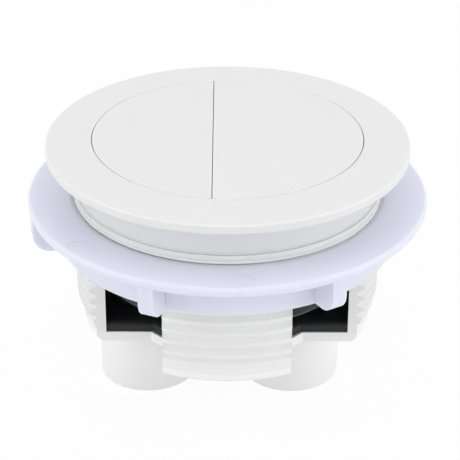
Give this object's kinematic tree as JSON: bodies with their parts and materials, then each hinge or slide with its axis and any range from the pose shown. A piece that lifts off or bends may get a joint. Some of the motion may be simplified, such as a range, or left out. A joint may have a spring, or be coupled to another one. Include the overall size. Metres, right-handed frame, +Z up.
{
  "type": "dual flush push button cistern actuator",
  "caption": "Round flush button set for a cistern lid: a trim ring with split sprung buttons on an interrupted threaded barrel, clamped by a flanged lock nut, with guide tubes below.",
  "frame": {"origin": "on the trim ring's axis, level with the feet of the guide tubes", "axes": "+Z up along the trim ring's axis, +X from the half flush button to the full flush button"},
  "size_m": [0.074, 0.074, 0.05],
  "materials": {
    "trim_white": "smooth satin white",
    "body_white": "moulded white",
    "plunger_black": "glossy black",
    "spring_steel": "drawn spring wire",
    "nut_white": "slightly translucent bluish white"
  },
  "bodies": {
    "housing": {"bezel_ring": "trim_white", "threaded_body": "body_white", "tube_base": "body_white", "guide_insert": "plunger_black", "half_flush_spring": "spring_steel", "full_flush_spring": "spring_steel"},
    "half_flush": {"half_flush_button": "trim_white", "half_flush_plunger": "plunger_black", "half_flush_stem": "plunger_black"},
    "full_flush": {"full_flush_button": "trim_white", "full_flush_plunger": "plunger_black", "full_flush_stem": "plunger_black"},
    "nut": {"lock_nut": "nut_white"}
  },
  "joints": [
    {"name": "half_flush_press", "type": "slide", "parent": "housing", "child": "half_flush", "axis": [0, 0, -1], "range_m": [0, 0.006], "stiffness_N_per_m": 450, "springref_m": -0.008, "deforming": ["half_flush_spring"]},
    {"name": "full_flush_press", "type": "slide", "parent": "housing", "child": "full_flush", "axis": [0, 0, -1], "range_m": [0, 0.006], "stiffness_N_per_m": 450, "springref_m": -0.008, "deforming": ["full_flush_spring"]},
    {"name": "nut_turn", "type": "hinge", "parent": "housing", "child": "nut", "pos_m": [0, 0, 0.0348], "axis": [0, 0, 1], "continuous": true}
  ]
}
